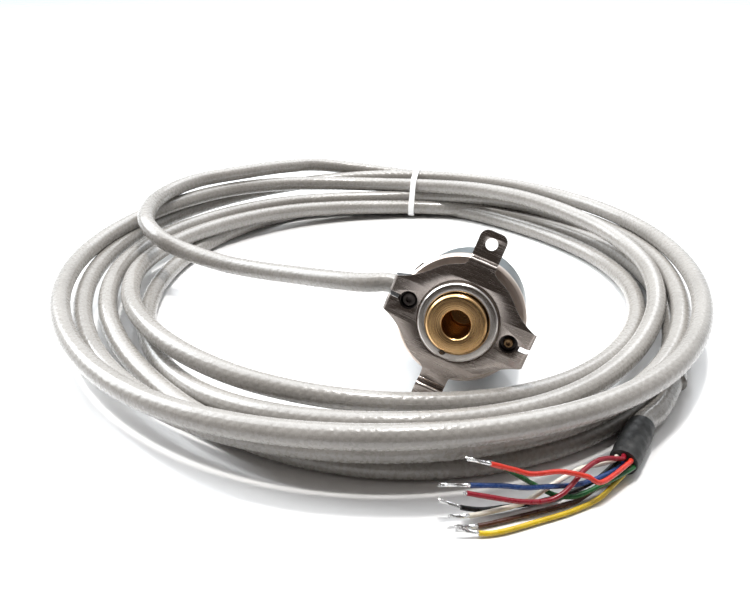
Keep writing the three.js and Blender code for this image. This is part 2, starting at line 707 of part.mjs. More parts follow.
const END_POINTS = [
  [88.0, -57.6, 3.2], [85.2, -62.6, 3.2], [80.2, -70.8, 3.2], [75.1, -77.9, 3.2],
  [69.8, -82.95, 3.2],
];

const WIRE_POINTS = {
  red: [[50.9, -109.1, 5.6], [46.9, -109.4, 7.6], [40.8, -109.3, 8.9], [33.9, -110.9, 9.6],
    [29.3, -111.0, 11.0], [24.1, -111.5, 13.0], [18.2, -111.4, 14.5]],
  green: [[47.8, -109.0, 2.5], [43.3, -110.4, 2.3], [39.5, -109.6, 2.4], [35.5, -108.6, 4.2],
    [32.0, -108.9, 6.8], [28.2, -109.2, 9.6], [23.5, -109.3, 12.0]],
  blue: [[53.0, -104.6, 3.7], [47.6, -107.3, 3.9], [44.0, -108.6, 4.2], [40.5, -110.0, 5.2],
    [37.0, -111.2, 6.1], [32.0, -112.2, 6.7], [27.0, -112.6, 7.6], [19.9, -113.2, 8.3],
    [12.0, -114.2, 9.3]],
  crimson: [[54.0, -102.2, 6.9], [50.7, -103.8, 7.3], [47.0, -106.6, 6.9], [44.5, -109.2, 6.1],
    [41.0, -111.8, 4.4], [36.8, -113.2, 3.6], [30.8, -114.4, 4.6], [24.3, -114.6, 6.0],
    [17.8, -114.6, 7.4]],
  white: [[52.5, -102.0, 5.0], [47.6, -103.8, 5.3], [44.0, -106.0, 5.2], [40.5, -108.4, 5.0],
    [37.5, -110.2, 4.5], [33.5, -112.0, 3.0], [29.7, -113.6, 2.5], [19.7, -116.4, 2.3],
    [14.2, -117.2, 2.8]],
  brown: [[52.5, -105.0, 1.7], [49.0, -107.6, 1.2], [45.5, -109.9, 0.7], [42.0, -111.4, 0.7],
    [31.3, -115.0, 0.7], [21.4, -117.9, 0.7], [15.6, -118.5, 1.0]],
  black: [[52.5, -102.9, 1.6], [46.5, -106.2, 0.8], [40.0, -109.0, 0.7], [34.0, -111.0, 0.8],
    [27.8, -112.6, 1.2], [22.7, -113.6, 1.4], [17.6, -114.2, 2.6], [12.3, -114.0, 4.6]],
  yellow: [[55.6, -104.9, 1.3], [50.5, -109.5, 0.8], [43.3, -113.4, 0.7], [34.7, -116.7, 0.7],
    [26.5, -119.6, 0.7], [21.2, -120.4, 0.9], [15.6, -120.3, 2.4]],
};

// Where each wire leaves the sleeve: round its axis from the right, blue in the middle.
const WIRE_START_ANGLES = {
  red: 45, crimson: 96, white: 148, black: 199, brown: 250, yellow: 302, green: 353,
};
const WIRE_START_RADIUS = 2.1;

/** The straight first stretch of the lead, moved from the encoder's frame to the coil's. */
function leadStart() {
  const { right, up, forward } = encoderAxes();
  const wayOut = right.clone().multiplyScalar(Math.cos(CABLE_ANGLE))
    .addScaledVector(up, Math.sin(CABLE_ANGLE));
  return [CABLE_START, 20, 26].map((radius) => FLANGE_CENTRE.clone()
    .addScaledVector(forward, CABLE_Z)
    .addScaledVector(wayOut, radius)
    .sub(COIL_CENTRE)
    .toArray());
}

/** A sector of a flat ring about the coil, between two angles clockwise from +y. */
function coilSector(inner, outer, fromDegrees, toDegrees, bottom, top) {
  const from = THREE.MathUtils.degToRad(90 - fromDegrees);
  const to = THREE.MathUtils.degToRad(90 - toDegrees);
  const shape = new THREE.Shape();
  shape.absarc(0, 0, outer, from, to, true);
  shape.absarc(0, 0, inner, to, from, false);
  shape.closePath();
  return raised(shape, bottom, top, 12);
}

/** Outline of the bundled turns: distance from the middle of the coil, and height. */
const BUNDLE = [
  [76, 0], [107, 0], [112, 8], [112, 15], [110, 19], [96, 19], [84.5, 12], [77, 6],
];

const BUNDLE_MIDDLE = new THREE.Vector2(95, 9.5);

/** The bundle's outline drawn in, or out, by a distance. */
function bundleOutline(distance) {
  return BUNDLE.map(([radius, z]) => {
    const point = new THREE.Vector2(radius, z);
    const away = point.clone().sub(BUNDLE_MIDDLE);
    return point.addScaledVector(away, distance / away.length());
  });
}

/** A slice of the bundle's outline where the tie goes round it. */
function tieSlice(outline, halfWidth) {
  const geometry = raised(new THREE.Shape(outline), -halfWidth, halfWidth);
  geometry.rotateX(Math.PI / 2);
  geometry.rotateZ(THREE.MathUtils.degToRad(90 - TIE_ANGLE));
  return geometry;
}

/** The bundled turns, hollowed where the cable's end, the wires and the tie lie against them. */
function cableCoil() {
  const sides = 72;
  const beyond = 125;
  const ring = solidOf(turned(BUNDLE, sides));
  const endPocket = coilSector(101.6, beyond, 122.4, 152, -1, 7.7);
  const wirePocket = coilSector(109.3, beyond, 140, 184, -1, 17);
  const tieGroove = solidOf(tieSlice(bundleOutline(6), TIE_HALF + 0.4))
    .subtract(solidOf(tieSlice(bundleOutline(-TIE_SINK - 0.4), TIE_HALF + 1)));
  return cut(ring, endPocket, wirePocket).subtract(tieGroove);
}

function cableTie() {
  return solidOf(tieSlice(bundleOutline(TIE_THICKNESS - TIE_SINK), TIE_HALF))
    .subtract(solidOf(tieSlice(bundleOutline(-TIE_SINK), TIE_HALF + 1)));
}

/** The direction of the sleeve, and the way across it, both level. */
function sleeveAxes() {
  const along = new THREE.Vector3(SLEEVE_TO[0] - SLEEVE_FROM[0], SLEEVE_TO[1] - SLEEVE_FROM[1], 0);
  const length = along.length();
  along.normalize();
  const across = new THREE.Vector3(-along.y, along.x, 0);
  return { along, across, length };
}

function heatShrink() {
  const { along, length } = sleeveAxes();
  const taper = 1.5;
  const tightEnd = 3.3;
  const geometry = turned([
    [0, GAP], [tightEnd, GAP], [SLEEVE_RADIUS, taper], [SLEEVE_RADIUS, length - GAP],
    [0, length - GAP],
  ], SMALL_ROUND);
  geometry.applyQuaternion(
    new THREE.Quaternion().setFromUnitVectors(new THREE.Vector3(0, 0, 1), along));
  geometry.translate(SLEEVE_FROM[0], SLEEVE_FROM[1], SLEEVE_RADIUS);
  return geometry;
}

function wires() {
  const { along, across } = sleeveAxes();
  return Object.entries(WIRE_POINTS).map(([colour, points]) => {
    const start = new THREE.Vector3(SLEEVE_TO[0], SLEEVE_TO[1], SLEEVE_RADIUS);
    if (colour in WIRE_START_ANGLES) {
      const angle = THREE.MathUtils.degToRad(WIRE_START_ANGLES[colour]);
      start.addScaledVector(across, WIRE_START_RADIUS * Math.cos(angle));
      start.z += WIRE_START_RADIUS * Math.sin(angle);
    }
    const next = start.clone().addScaledVector(along, 2.5);
    const route = [start.toArray(), next.toArray(), ...points];
    const material = finish(WIRE_COLOURS[colour], 0.4, 0);
    return piece(`wire_${colour}`, cable(route, WIRE_RADIUS, 8, 14), material);
  });
}

function cableGroup() {
  const group = new THREE.Group();
  group.add(
    piece('cable_lead', cable([...leadStart(), ...LEAD_POINTS], CABLE_RADIUS, 10, 26),
      FINISH.jacket),
    piece('cable_coil', cableCoil(), FINISH.jacket),
    piece('cable_end', cable(END_POINTS, CABLE_RADIUS, 10, 5), FINISH.jacket),
    piece('cable_tie', cableTie(), FINISH.tie),
    piece('heat_shrink', heatShrink(), FINISH.sleeve),
    ...wires(),
  );
  group.position.copy(COIL_CENTRE);
  return group;
}

// ---------------------------------------------------------------- whole object

const rotaryEncoder = new THREE.Group();
rotaryEncoder.add(encoderGroup(), cableGroup());

export default rotaryEncoder;
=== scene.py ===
"""Looks of a miniature hollow-shaft rotary encoder with its coiled cable.

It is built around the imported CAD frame.

Lengths are in millimetres where a name or a comment says so, and are turned to metres by MM.
The encoder's visible pieces are drawn in its own frame, as in the CAD: +z forward out of the hub,
+y through the upper coupling tab, z = 0 on the flange's front face.
"""

import json
import math
import random

import bmesh
import bpy
import numpy as np
from mathutils import Matrix, Vector


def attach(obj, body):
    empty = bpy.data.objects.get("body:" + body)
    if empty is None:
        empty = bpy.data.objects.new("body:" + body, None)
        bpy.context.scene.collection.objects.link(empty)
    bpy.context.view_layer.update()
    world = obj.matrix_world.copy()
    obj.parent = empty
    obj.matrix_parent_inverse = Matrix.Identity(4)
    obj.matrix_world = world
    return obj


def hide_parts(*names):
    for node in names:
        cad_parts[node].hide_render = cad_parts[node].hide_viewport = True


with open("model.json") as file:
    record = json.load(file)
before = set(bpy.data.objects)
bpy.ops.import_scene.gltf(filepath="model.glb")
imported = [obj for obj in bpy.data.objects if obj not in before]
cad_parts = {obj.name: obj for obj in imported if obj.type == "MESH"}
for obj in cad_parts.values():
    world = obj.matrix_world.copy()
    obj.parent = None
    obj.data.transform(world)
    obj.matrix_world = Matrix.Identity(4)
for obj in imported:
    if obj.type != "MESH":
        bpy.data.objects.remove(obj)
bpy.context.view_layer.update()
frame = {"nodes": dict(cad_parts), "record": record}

MM = 0.001
ROOT = "stator"
ROTOR = "rotor"

# ------------------------------------------------------------------ places shared with the CAD, in mm

FLANGE_CENTRE = Vector((-0.39, -7.71, 22.99))
COIL_CENTRE = Vector((-22.04, 53.8, 0.0))
YAW = math.radians(14.7)
TILT = math.radians(15)
ROLL = math.radians(17.5)

COVER_SCREW_ANGLES = (154, 9, 260)
COVER_SCREW_Z = -5.3
PIN_HOLE_ANGLE = math.radians(266)
PIN_HOLE_AT = 9.1
PIN_HOLE_RADIUS = 1.05
NOTCH_ANGLE = math.radians(285)
NOTCH_AT = 10.9
NOTCH_RADIUS = 1.05
COUPLING_HOLE_AT = 15

CABLE_RADIUS = 3.15
CABLE_ANGLE = math.radians(187.5)
CABLE_Z = -18.2
CABLE_START = 14.4

SLEEVE_FROM = Vector((69.6, -83.3, 3.7))
SLEEVE_TO = Vector((59.0, -99.8, 3.7))
SLEEVE_SET_BACK = 2.0
WIRE_RADIUS = 0.6
TIE_ANGLE = 10.5
TIE_HALF_WIDTH = 1.25
TIE_HALF_THICKNESS = 0.45
TIE_GAP = 0.5
TIE_MIDDLE_LOWEST = 0.55
TIE_LOWEST = 0.1

LEAD_POINTS = [
    (-4.95, -36.4, 22.2), (-12.25, -32.9, 21.2), (-20.05, -28.0, 19.8), (-28.25, -22.3, 18.2),
    (-42.4, -13.9, 16.2), (-56.1, -6.8, 15.6), (-71.4, 1.1, 17.0), (-81.5, 6.3, 20.0),
    (-89.7, 18.1, 22.6), (-92.3, 37.0, 22.8), (-88.8, 53.6, 22.8), (-80.0, 67.6, 22.8),
    (-64.1, 78.8, 22.7),
]
# From the end of the lead over the top of the coil, down to where the first turn starts.
LEAD_DESCENT = [(-44.0, 93.5, 21.4), (-23.5, 102.5, 19.0)]

END_POINTS = [
    (88.0, -57.6, 3.2), (85.2, -62.6, 3.2), (80.2, -70.8, 3.2), (75.1, -77.9, 3.2),
    (69.8, -82.95, 3.3), (66.9, -87.5, 3.6),
]

# The coil's turns: (distance from the middle, height) at eight stations clockwise from the back.
STATIONS = 8
TURNS = [
    [(104.5, 14.0), (104.5, 9.0), (103, 11.5), (103, 9), (102.3, 9.4), (101.5, 7.5), (104.3, 10.5),
     (104.5, 11)],
    [(99, 14.5), (106, 14.8), (107, 16.5), (109, 16.5), (108, 17.8), (108, 14.5), (108.6, 15.5),
     (100.5, 16.5)],
    [(91.5, 13), (88, 16.5), (96.5, 12.5), (92, 6.5), (92, 9.5), (86.5, 3.6), (83, 3.3), (86, 3.2)],
    [(93, 3.2), (88, 3.2), (92, 3.6), (85, 3.7), (78.5, 6.5), (83, 10.4), (89, 10.3), (82, 8.3)],
    [(82, 5), (96.5, 4), (99, 6), (103, 3.2), (100.7, 3.2), (93, 4.1), (96.7, 9.5), (91, 9)],
    [(87.5, 7.8), (97.5, 10), (105, 4.0)],
]
POINTS_PER_STATION = 3

WIRE_POINTS = {
    "red": [(50.9, -109.1, 5.6), (46.9, -109.4, 7.6), (40.8, -109.3, 8.9), (33.9, -110.9, 9.6),
            (29.3, -111.0, 11.0), (24.1, -111.5, 13.0), (18.2, -111.4, 14.5)],
    "green": [(47.8, -109.0, 2.5), (43.3, -110.4, 2.3), (39.5, -109.6, 2.4), (35.5, -108.6, 4.2),
              (32.0, -108.9, 6.8), (28.2, -109.2, 9.6), (23.5, -109.3, 12.0)],
    "blue": [(53.0, -104.6, 3.7), (47.6, -107.3, 3.9), (44.0, -108.6, 4.2), (40.5, -110.0, 5.2),
             (37.0, -111.2, 6.1), (32.0, -112.2, 6.7), (27.0, -112.6, 7.6), (19.9, -113.2, 8.3),
             (12.0, -114.2, 9.3)],
    "crimson": [(54.0, -102.2, 6.9), (50.7, -103.8, 7.3), (47.0, -106.6, 6.9), (44.5, -109.2, 6.1),
                (41.0, -111.8, 4.4), (36.8, -113.2, 3.6), (30.8, -114.4, 4.6), (24.3, -114.6, 6.0),
                (17.8, -114.6, 7.4)],
    "white": [(52.5, -102.0, 5.0), (47.6, -103.8, 5.3), (44.0, -106.0, 5.2), (40.5, -108.4, 5.0),
              (37.5, -110.2, 4.5), (33.5, -112.0, 3.0), (29.7, -113.6, 2.5), (19.7, -116.4, 2.3),
              (14.2, -117.2, 2.8)],
    "brown": [(52.5, -105.0, 1.7), (49.0, -107.6, 1.2), (45.5, -109.9, 0.7), (42.0, -111.4, 0.7),
              (31.3, -115.0, 0.7), (21.4, -117.9, 0.7), (15.6, -118.5, 1.0)],
    "black": [(52.5, -102.9, 1.6), (46.5, -106.2, 0.8), (40.0, -109.0, 0.7), (34.0, -111.0, 0.8),
              (27.8, -112.6, 1.2), (22.7, -113.6, 1.4), (17.6, -114.2, 2.6), (12.3, -114.0, 4.6)],
    "yellow": [(55.6, -104.9, 1.3), (50.5, -109.5, 0.8), (43.3, -113.4, 0.7), (34.7, -116.7, 0.7),
               (26.5, -119.6, 0.7), (21.2, -120.4, 0.9), (15.6, -120.3, 2.4)],
}
WIRE_START_ANGLES = {
    "red": 45, "crimson": 96, "white": 148, "black": 199, "brown": 250, "yellow": 302, "green": 353,
}
WIRE_START_RADIUS = 2.1
WIRE_STRAIGHT_RUN = 1.5
WIRE_STEP = 0.25
STRANDS = 5
STRAND_RADIUS = 0.19
STRAND_LAY_RADIUS = 0.26
STRAND_PITCH = 3.2
BARE_LENGTH = {
    "red": 6.0, "green": 5.0, "blue": 7.5, "crimson": 0.8, "white": 5.0, "brown": 5.5, "black": 5.5,
    "yellow": 5.5,
}


# ------------------------------------------------------------------ frames and paths

def encoder_axes():
    """Right, up and forward of the tilted encoder."""
    forward = Vector((-math.sin(YAW) * math.cos(TILT), -math.cos(YAW) * math.cos(TILT), math.sin(TILT)))
    level = Vector((math.cos(YAW), -math.sin(YAW), 0))
    rise = forward.cross(level)
    right = level * math.cos(ROLL) - rise * math.sin(ROLL)
    return right, forward.cross(right), forward


RIGHT, UP, FORWARD = encoder_axes()
ENCODER_POSE = Matrix.Translation(FLANGE_CENTRE * MM) @ Matrix((RIGHT, UP, FORWARD)).transposed().to_4x4()


def from_coil(point):
    return Vector(point) + COIL_CENTRE


def smooth_path(points, step):
    """Points a step apart along a smooth curve through the given ones."""
    p = np.array([tuple(q) for q in points], float)
    p = np.vstack([2 * p[0] - p[1], p, 2 * p[-1] - p[-2]])
    fine = []
    t = np.linspace(0, 1, 16, endpoint=False)[:, None]
    for a, b, c, d in zip(p[:-3], p[1:-2], p[2:-1], p[3:]):
        fine.append(0.5 * (2 * b + (c - a) * t + (2 * a - 5 * b + 4 * c - d) * t ** 2
                           + (3 * b - a - 3 * c + d) * t ** 3))
    fine = np.vstack(fine + [p[-2:-1]])
    along = np.concatenate([[0], np.cumsum(np.linalg.norm(np.diff(fine, axis=0), axis=1))])
    count = max(2, int(round(along[-1] / step)) + 1)
    places = np.linspace(0, along[-1], count)
    return np.stack([np.interp(places, along, fine[:, k]) for k in range(3)], axis=1), places


def path_frames(path):
    """Tangent and two normals at each point, carried along without twist."""
    tangent = np.gradient(path, axis=0)
    tangent /= np.linalg.norm(tangent, axis=1)[:, None]
    side = np.cross(tangent[0], (0, 0, 1))
    side /= np.linalg.norm(side)
    sides = []
    for t in tangent:
        side = side - t * np.dot(side, t)
        side = side / np.linalg.norm(side)
        sides.append(side)
    sides = np.array(sides)
    return tangent, sides, np.cross(tangent, sides)


def sweep(name, path, places, radius, around=20):
    """A closed round tube along a path, in mm. radius is a number, or a function of (place, angle)."""
    tangent, side, top = path_frames(path)
    angles = np.linspace(0, 2 * math.pi, around, endpoint=False)
    verts = []
    for i, centre in enumerate(path):
        for angle in angles:
            r = radius(places[i], angle) if callable(radius) else radius
            verts.append(centre + r * (side[i] * math.cos(angle) + top[i] * math.sin(angle)))
    faces = []
    uvs = []
    for i in range(len(path) - 1):
        for k in range(around):
            n = (k + 1) % around
            faces.append((i * around + k, (i + 1) * around + k, (i + 1) * around + n, i * around + n))
            u0, u1 = places[i], places[i + 1]
            v0, v1 = k / around, (k + 1) / around
            uvs.append([(u0, v0), (u1, v0), (u1, v1), (u0, v1)])
    last = (len(path) - 1) * around
    faces.append(tuple(range(around)))
    uvs.append([(0, 0)] * around)
    faces.append(tuple(last + k for k in reversed(range(around))))
    uvs.append([(places[-1], 0)] * around)
    mesh = bpy.data.meshes.new(name)
    mesh.from_pydata([tuple(v * MM) for v in verts], [], faces)
    layer = mesh.uv_layers.new(name="along_and_around")
    flat = [c for face in uvs for uv in face for c in uv]
    layer.data.foreach_set("uv", flat)
    return placed(name, mesh)


def placed(name, mesh, pose=None, sharp=40):
    """An object for a mesh, smooth but for edges sharper than the given angle."""
    if pose is not None:
        mesh.transform(pose)
    mesh.validate()
    mesh.update()
    mesh.shade_smooth()
    mesh.set_sharp_from_angle(angle=math.radians(sharp))
    piece = bpy.data.objects.new(name, mesh)
    bpy.context.scene.collection.objects.link(piece)
    return piece


# ------------------------------------------------------------------ camera

CAMERA_FROM_COIL = Vector((-2.17, -236.81, 118.7))
CAMERA_PITCH_DOWN = 27.104
CAMERA_LENS = 33.986


def make_camera():
    """Looks along +Y and down, from above the front of the coil."""
    camera = bpy.data.cameras.new("camera")
    camera.sensor_width = 36
    camera.lens = CAMERA_LENS
    camera.clip_start = 0.01
    camera.dof.use_dof = False
    piece = bpy.data.objects.new("camera", camera)
    piece.location = from_coil(CAMERA_FROM_COIL) * MM
    piece.rotation_euler = (math.radians(90 - CAMERA_PITCH_DOWN), 0, 0)
    bpy.context.scene.collection.objects.link(piece)
    bpy.context.scene.camera = piece


# ------------------------------------------------------------------ node helpers

def set_stops(node, stops):
    """Gives a colour ramp its (place, colour) stops."""
    elements = node.color_ramp.elements
    while len(elements) < len(stops):
        elements.new(0.5)
    for element, (place, colour) in zip(elements, stops):
        element.position = place
        element.color = (*colour, 1)


class Nodes:
    """Short calls for building a node material."""

    def __init__(self, name):
        self.material = bpy.data.materials.new(name)
        self.material.use_nodes = True
        self.tree = self.material.node_tree
        self.shader = self.tree.nodes["Principled BSDF"]

    def add(self, kind, **settings):
        node = self.tree.nodes.new(kind)
        for key, value in settings.items():
            setattr(node, key, value)
        return node

    def link(self, source, target):
        self.tree.links.new(source, target)

    def feed(self, value, socket):
        if isinstance(value, bpy.types.NodeSocket):
            self.link(value, socket)
        else:
            socket.default_value = value

    def set(self, **values):
        """Sets the shader's own sockets by name, with _ for a space."""
        for key, value in values.items():
            self.feed(value, self.shader.inputs[key.replace("_", " ")])
        return self

    def math(self, operation, a, b=0.0):
        node = self.add("ShaderNodeMath", operation=operation)
        self.feed(a, node.inputs[0])
        self.feed(b, node.inputs[1])
        return node.outputs[0]

    def object_coords(self):
        return self.add("ShaderNodeTexCoord").outputs["Object"]

    def encoder_coords(self):
        """Object coordinates turned back into the tilted encoder's own frame."""
        node = self.add("ShaderNodeMapping", vector_type="TEXTURE")
        node.inputs["Location"].default_value = ENCODER_POSE.translation
        node.inputs["Rotation"].default_value = ENCODER_POSE.to_euler()
        self.link(self.object_coords(), node.inputs["Vector"])
        return node.outputs[0]

    def split(self, vector):
        node = self.add("ShaderNodeSeparateXYZ")
        self.link(vector, node.inputs[0])
        return node.outputs

    def merge(self, x=0.0, y=0.0, z=0.0):
        node = self.add("ShaderNodeCombineXYZ")
        for value, socket in zip((x, y, z), node.inputs):
            self.feed(value, socket)
        return node.outputs[0]

    def noise(self, vector, scale, detail=3.0, rough=0.55):
        node = self.add("ShaderNodeTexNoise")
        self.link(vector, node.inputs["Vector"])
        node.inputs["Scale"].default_value = scale
        node.inputs["Detail"].default_value = detail
        node.inputs["Roughness"].default_value = rough
        return node.outputs["Fac"]

    def range(self, value, low, high, from_low=0.3, from_high=0.7):
        node = self.add("ShaderNodeMapRange")
        self.link(value, node.inputs["Value"])
        node.inputs["From Min"].default_value = from_low
        node.inputs["From Max"].default_value = from_high
        node.inputs["To Min"].default_value = low
        node.inputs["To Max"].default_value = high
        return node.outputs["Result"]

    def ramp(self, value, *stops):
        node = self.add("ShaderNodeValToRGB")
        self.link(value, node.inputs[0])
        set_stops(node, stops)
        return node.outputs["Color"]

    def bump(self, height, distance, strength=1.0):
        """distance is in metres."""
        node = self.add("ShaderNodeBump")
        self.link(height, node.inputs["Height"])
        node.inputs["Distance"].default_value = distance
        node.inputs["Strength"].default_value = strength
        self.link(node.outputs["Normal"], self.shader.inputs["Normal"])
        return self


def cable_material():
    """Soft grey jacket with the screen's braid showing through as fine diamonds."""
    n = Nodes("cable_jacket")
    starts = 8
    lay = 24.0
    uv = n.add("ShaderNodeUVMap", uv_map="along_and_around").outputs[0]
    along, around, _ = n.split(uv)
    turn = n.math("MULTIPLY", around, 2 * math.pi * starts)
    wobble = n.noise(n.object_coords(), 90, 2)
    twist = n.math("ADD", n.math("MULTIPLY", along, 2 * math.pi * starts / lay),
                   n.math("MULTIPLY", wobble, 1.2))
    left = n.math("SINE", n.math("ADD", turn, twist))
    right = n.math("SINE", n.math("SUBTRACT", turn, twist))
    weave = n.math("MAXIMUM", left, right)
    grain = n.noise(n.object_coords(), 1500, 2)
    lumps = n.noise(n.object_coords(), 330, 3)
    height = n.math("ADD", n.math("MULTIPLY", weave, 0.22),
                    n.math("ADD", n.math("MULTIPLY", grain, 0.2), n.math("MULTIPLY", lumps, 1.7)))
    colour = n.ramp(n.noise(n.object_coords(), 60, 4),
                    (0.3, (0.238, 0.222, 0.204)), (0.7, (0.292, 0.274, 0.254)))
    rough = n.range(n.noise(n.object_coords(), 900, 3), 0.2, 0.36)
    n.set(Base_Color=colour, Roughness=rough, Coat_Weight=0.5, Coat_Roughness=0.09)
    return n.bump(height, 0.00011).material


def plastic_material(name, dark, light, rough=(0.3, 0.45), scale=500, depth=0.00002):
    """Moulded or extruded plastic, a little uneven in colour and gloss."""
    n = Nodes(name)
    coords = n.object_coords()
    colour = n.ramp(n.noise(coords, scale * 0.4, 3), (0.3, dark), (0.7, light))
    n.set(Base_Color=colour, Roughness=n.range(n.noise(coords, scale, 3), *rough))
    return n.bump(n.noise(coords, scale * 2, 3), depth).material


def turned_metal(name, dark, light, rough=(0.22, 0.36), depth=0.000006, lines=6000):
    """Metal turned on a lathe: fine rings about the encoder's axis."""
    n = Nodes(name)
    coords = n.encoder_coords()
    x, y, z = n.split(coords)
    radius = n.math("SQRT", n.math("ADD", n.math("MULTIPLY", x, x), n.math("MULTIPLY", y, y)))
    rings = n.noise(n.merge(radius, 0.0, z), lines, 2)
    blotch = n.noise(coords, 180, 4)
    colour = n.ramp(n.math("ADD", n.math("MULTIPLY", rings, 0.5), n.math("MULTIPLY", blotch, 0.5)),
                    (0.35, dark), (0.65, light))
    n.set(Base_Color=colour, Metallic=1.0, Roughness=n.range(rings, *rough))
    return n.bump(rings, depth).material


def sheet_metal(name, dark, light, rough=(0.16, 0.3)):
    """Rolled spring steel with a faint grain along x."""
    n = Nodes(name)
    coords = n.encoder_coords()
    x, y, z = n.split(coords)
    grain = n.noise(n.merge(n.math("MULTIPLY", x, 0.04), y, z), 5000, 3)
    blotch = n.noise(coords, 120, 4)
    colour = n.ramp(n.math("ADD", n.math("MULTIPLY", grain, 0.4), n.math("MULTIPLY", blotch, 0.6)),
                    (0.35, dark), (0.65, light))
    n.set(Base_Color=colour, Metallic=1.0, Roughness=n.range(grain, *rough))
    return n.bump(grain, 0.000004).material


def glass_material(name, tint):
    n = Nodes(name)
    rough = n.range(n.noise(n.object_coords(), 800, 2), 0.03, 0.09)
    n.set(Base_Color=(*tint, 1), Roughness=rough, Transmission_Weight=0.85, IOR=1.5)
    return n.material


def floor_material():
    """A pale glossy table whose colour holds painted light and shade: a greyer, warmer white at the front
    and a bluish white away from it, like the window's light behind.
    """
    n = Nodes("table")
    coords = n.object_coords()
    _, y, _ = n.split(coords)
    away = n.range(n.math("ADD", y, n.math("MULTIPLY", n.noise(coords, 3, 3), 0.1)), 0, 1, -0.2, 1.6)
    # painted light and shade: these stops darken the table at the front and tint it bluish towards the back
    colour = n.ramp(away, (0.0, (0.86, 0.84, 0.83)), (0.2, (0.90, 0.90, 0.90)), (0.9, (0.74, 0.86, 0.90)))
    n.set(Base_Color=colour, Roughness=n.range(n.noise(coords, 40, 3), 0.1, 0.2))
    return n.material


INSULATION = {
    "red": (0.56, 0.03, 0.015), "green": (0.006, 0.10, 0.02), "blue": (0.012, 0.045, 0.17),
    "crimson": (0.25, 0.006, 0.018), "white": (0.80, 0.74, 0.64), "brown": (0.075, 0.028, 0.018),
    "black": (0.008, 0.008, 0.008), "yellow": (0.58, 0.40, 0.012),
}


def shade(colour, factor):
    return tuple(min(1.0, c * factor) for c in colour)


def make_materials():
    """One material for each of the record's slots, by the slot's name."""
    found = {
        "cable_jacket": cable_material(),
        "flange_aluminium": turned_metal("flange_aluminium", (0.50, 0.42, 0.37), (0.62, 0.53, 0.47),
                                         rough=(0.34, 0.46)),
        "cover_aluminium": turned_metal("cover_aluminium", (0.10, 0.12, 0.13), (0.15, 0.175, 0.19),
                                        rough=(0.3, 0.42)),
        "dark_screw": turned_metal("dark_screw", (0.05, 0.045, 0.045), (0.1, 0.09, 0.085),
                                   rough=(0.3, 0.5)),
        "gilt_screw": turned_metal("gilt_screw", (0.16, 0.10, 0.05), (0.30, 0.20, 0.11)),
        "black_rubber": plastic_material("black_rubber", (0.012, 0.012, 0.013),
                                         (0.03, 0.03, 0.032), rough=(0.5, 0.75)),
        "hub_brass": turned_metal("hub_brass", (0.50, 0.30, 0.13), (0.70, 0.46, 0.23),
                                  rough=(0.2, 0.34), depth=0.00001),
        "ring_steel": turned_metal("ring_steel", (0.52, 0.49, 0.47), (0.68, 0.65, 0.62),
                                   rough=(0.16, 0.26)),
        "spring_steel": sheet_metal("spring_steel", (0.40, 0.355, 0.33), (0.52, 0.47, 0.44)),
        "bearing_steel": turned_metal("bearing_steel", (0.62, 0.62, 0.62), (0.75, 0.75, 0.75),
                                      rough=(0.1, 0.2)),
        "disc_glass": glass_material("disc_glass", (0.85, 0.95, 0.92)),
        "lens_plastic": glass_material("lens_plastic", (0.95, 0.97, 1.0)),
        "black_plastic": plastic_material("black_plastic", (0.01, 0.01, 0.01), (0.025, 0.025, 0.025)),
        "circuit_board": plastic_material("circuit_board", (0.01, 0.10, 0.035), (0.02, 0.15, 0.06)),
        "white_plastic": plastic_material("white_plastic", (0.8, 0.8, 0.79), (0.88, 0.88, 0.87)),
        "inner_wire_jacket": plastic_material("inner_wire_jacket", (0.3, 0.3, 0.3), (0.4, 0.4, 0.4)),
        "heat_shrink_sleeve": plastic_material("heat_shrink_sleeve", (0.006, 0.006, 0.006),
                                               (0.014, 0.014, 0.013), rough=(0.45, 0.62), scale=700,
                                               depth=0.00012),
    }
    for colour, base in INSULATION.items():
        found[f"insulation_{colour}"] = plastic_material(
            f"insulation_{colour}", shade(base, 0.8), shade(base, 1.15), rough=(0.22, 0.36))
    return found


MATERIALS = None


def dress(piece, slot, body=ROOT, nodes=()):
    """Gives a piece its slot's material and its body, and hides the CAD nodes it stands for."""
    piece.data.materials.clear()
    piece.data.materials.append(MATERIALS[slot])
    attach(piece, body)
    if nodes:
        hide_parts(*nodes)
    return piece


# ------------------------------------------------------------------ cable

def lead_start():
    """The straight first stretch of the cable, out of the cover."""
    out = RIGHT * math.cos(CABLE_ANGLE) + UP * math.sin(CABLE_ANGLE)
    axis = FLANGE_CENTRE + FORWARD * CABLE_Z
    return [axis + out * radius for radius in (CABLE_START, 20, 26)]


def coil_points():
    """Points of all the turns, several to a station, from the back and clockwise."""
    slots = [slot for turn in TURNS for slot in turn]
    points = []
    for index in range((len(slots) - 1) * POINTS_PER_STATION + 1):
        place = index / POINTS_PER_STATION
        radius, height = eased(slots, place)
        angle = 2 * math.pi * place / STATIONS
        points.append(from_coil((radius * math.sin(angle), radius * math.cos(angle), height)))
    return points


def eased(slots, place):
    """(radius, height) at a place between stations, on a smooth curve through them."""
    i = min(int(place), len(slots) - 2)
    t = place - i
    a, b, c, d = (np.array(slots[min(max(k, 0), len(slots) - 1)]) for k in (i - 1, i, i + 1, i + 2))
    return 0.5 * (2 * b + (c - a) * t + (2 * a - 5 * b + 4 * c - d) * t ** 2
                  + (3 * b - a - 3 * c + d) * t ** 3)


def cable_route():
    lead = lead_start() + [from_coil(p) for p in LEAD_POINTS + LEAD_DESCENT]
    end = [from_coil(p) for p in END_POINTS]
    return lead + coil_points()[1:] + end


def make_cable():
    path, places = smooth_path(cable_route(), 2.2)
    cable = sweep("cable", path, places, CABLE_RADIUS, around=24)
    dress(cable, "cable_jacket", nodes=["cable_lead", "cable_coil", "cable_end"])
    return cable, path, places[-1]


